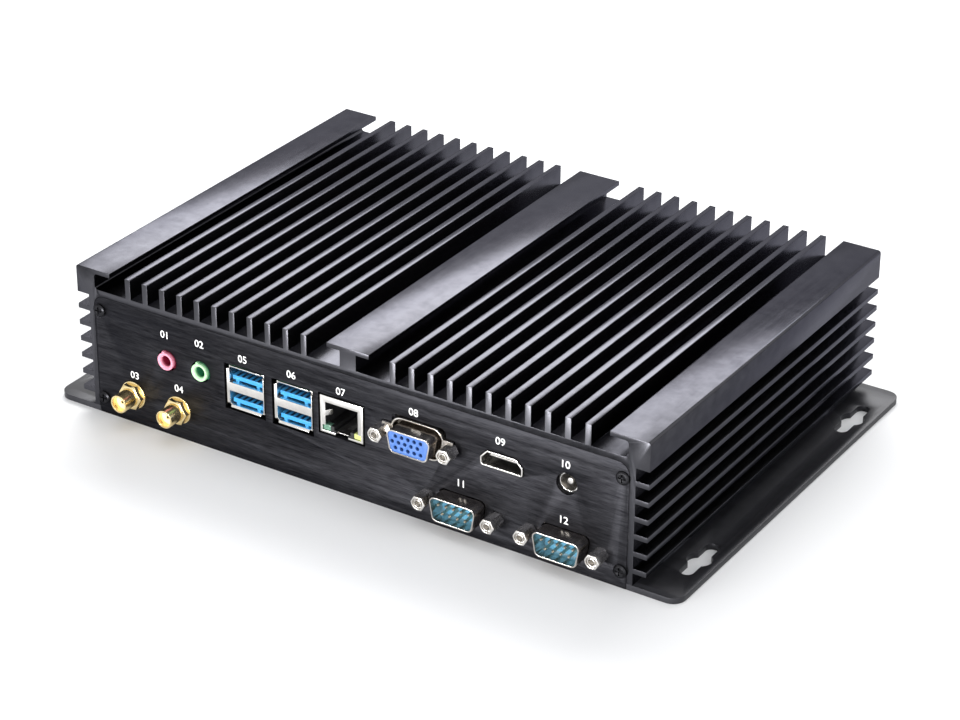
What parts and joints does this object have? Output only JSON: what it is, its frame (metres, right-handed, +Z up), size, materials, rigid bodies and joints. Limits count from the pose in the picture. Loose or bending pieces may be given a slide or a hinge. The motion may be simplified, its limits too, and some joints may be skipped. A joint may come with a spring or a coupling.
{
  "type": "fanless industrial pc",
  "caption": "Low black computer box with a finned aluminium cover, side fins, slotted mounting ears and a row of sockets along the front.",
  "frame": {"origin": "middle of the base plate's underside", "axes": "+X to the right seen from the socket side, along the longest side; +Y from the socket side to the rear; +Z up"},
  "size_m": [0.2354, 0.1632, 0.052],
  "materials": {
    "black_anodised": "satin black anodised extrusion",
    "black_brushed": "brushed black anodised sheet",
    "black_sheet": "satin black coated steel sheet",
    "black_steel": "black oxide screws",
    "bright_steel": "bright zinc plated or stainless steel",
    "pink_plastic": "pink moulded plastic",
    "green_plastic": "pale green moulded plastic",
    "gold_plate": "gold plated brass",
    "cream_plastic": "cream insulator",
    "nickel_shell": "nickel plated pressed sheet",
    "blue_plastic": "blue moulded plastic",
    "violet_blue_plastic": "blue moulded plastic",
    "cyan_plastic": "cyan blue moulded plastic",
    "black_plastic": "black moulded plastic",
    "light_lens": "clear tinted light lens",
    "nickel_post": "nickel plated turned post",
    "board_green": "green circuit board with parts",
    "brass_post": "turned brass",
    "chip_black": "chip package",
    "pad_grey": "soft thermal pad",
    "bare_aluminium": "milled aluminium",
    "drive_case": "pressed drive case"
  },
  "bodies": {
    "case": {"antenna_contacts": "gold_plate", "antenna_insulators": "cream_plastic", "antenna_nuts": "gold_plate", "antenna_socket_1": "gold_plate", "antenna_socket_2": "gold_plate", "antenna_washers": "gold_plate", "base_plate": "black_sheet", "base_screws": "black_steel", "board_screws": "bright_steel", "board_standoffs": "brass_post", "clock_battery": "bright_steel", "com_insert_1": "cyan_plastic", "com_insert_2": "cyan_plastic", "com_pins": "gold_plate", "com_screwlocks": "nickel_post", "com_shell_1": "nickel_shell", "com_shell_2": "nickel_shell", "dc_jack_body": "black_plastic", "dc_jack_pin": "nickel_shell", "dc_jack_sleeve": "nickel_shell", "drive_screws": "bright_steel", "hdmi_insert": "black_plastic", "hdmi_shell": "nickel_shell", "heat_block_screws": "bright_steel", "heat_transfer_block": "bare_aluminium", "heatsink_cover": "black_anodised", "io_panel": "black_brushed", "io_panel_screws": "black_steel", "lan_contacts": "gold_plate", "lan_insert": "black_plastic", "lan_lights": "light_lens", "lan_shell": "nickel_shell", "mainboard": "board_green", "memory_module": "board_green", "memory_socket": "black_plastic", "mic_jack": "pink_plastic", "power_button_bezel": "bright_steel", "power_button_nut": "bright_steel", "processor": "chip_black", "rear_panel": "black_brushed", "rear_panel_screws": "black_steel", "solid_state_drive": "drive_case", "speaker_jack": "green_plastic", "status_lights": "light_lens", "thermal_pads": "pad_grey", "usb2_insert_1": "black_plastic", "usb2_insert_2": "black_plastic", "usb2_shell_1": "nickel_shell", "usb2_shell_2": "nickel_shell", "usb3_contacts": "gold_plate", "usb3_insert_1": "blue_plastic", "usb3_insert_2": "blue_plastic", "usb3_shell_1": "nickel_shell", "usb3_shell_2": "nickel_shell", "vga_insert": "violet_blue_plastic", "vga_screwlocks": "nickel_post", "vga_shell": "nickel_shell", "wireless_card": "board_green"},
    "button": {"power_button_cap": "bright_steel"}
  },
  "joints": [
    {"name": "power_button_press", "type": "slide", "parent": "case", "child": "button", "axis": [0, -1, 0], "range_m": [0, 0.0015], "stiffness_N_per_m": 2000}
  ]
}
